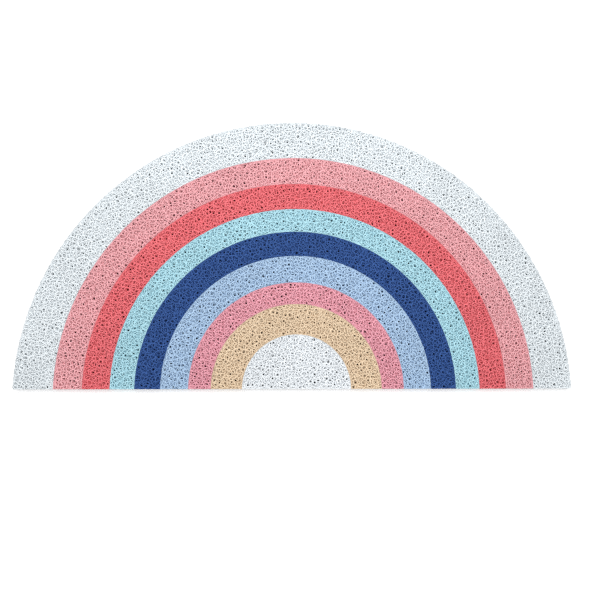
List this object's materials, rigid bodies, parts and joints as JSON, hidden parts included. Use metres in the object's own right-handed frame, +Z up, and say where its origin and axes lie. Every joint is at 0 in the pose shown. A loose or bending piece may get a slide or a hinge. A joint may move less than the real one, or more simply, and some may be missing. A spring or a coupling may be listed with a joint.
{
  "type": "doormat",
  "caption": "Half-moon coil-matting doormat: plain concentric arches of colour round a white half disc, inlaid edge to edge on a dark vinyl backing.",
  "frame": {"origin": "on the floor, at the middle of the mat's bounding rectangle; the arcs' shared centre is half a radius behind it, in the middle of the straight edge", "axes": "+X along the straight edge, +Y from the straight edge towards the top of the arc, +Z up from the floor"},
  "size_m": [0.9, 0.45, 0.012],
  "materials": {
    "loops_white_centre": "white coil matting: looped and fused vinyl filament, satin",
    "loops_tan": "tan coil matting: looped and fused vinyl filament, satin",
    "loops_rose": "rose pink coil matting: looped and fused vinyl filament, satin",
    "loops_light_blue": "light blue coil matting: looped and fused vinyl filament, satin",
    "loops_navy": "navy coil matting: looped and fused vinyl filament, satin",
    "loops_aqua": "pale aqua coil matting: looped and fused vinyl filament, satin",
    "loops_coral": "coral red coil matting: looped and fused vinyl filament, satin",
    "loops_light_pink": "light pink coil matting: looped and fused vinyl filament, satin",
    "loops_white_rim": "white coil matting: looped and fused vinyl filament, satin",
    "backing_sheet": "charcoal vinyl sheet, matt, lightly embossed underneath"
  },
  "bodies": {
    "root": {"half_disc_white": "loops_white_centre", "arch_tan": "loops_tan", "arch_rose": "loops_rose", "arch_light_blue": "loops_light_blue", "arch_navy": "loops_navy", "arch_aqua": "loops_aqua", "arch_coral": "loops_coral", "arch_light_pink": "loops_light_pink", "arch_white": "loops_white_rim", "backing": "backing_sheet"}
  },
  "joints": []
}
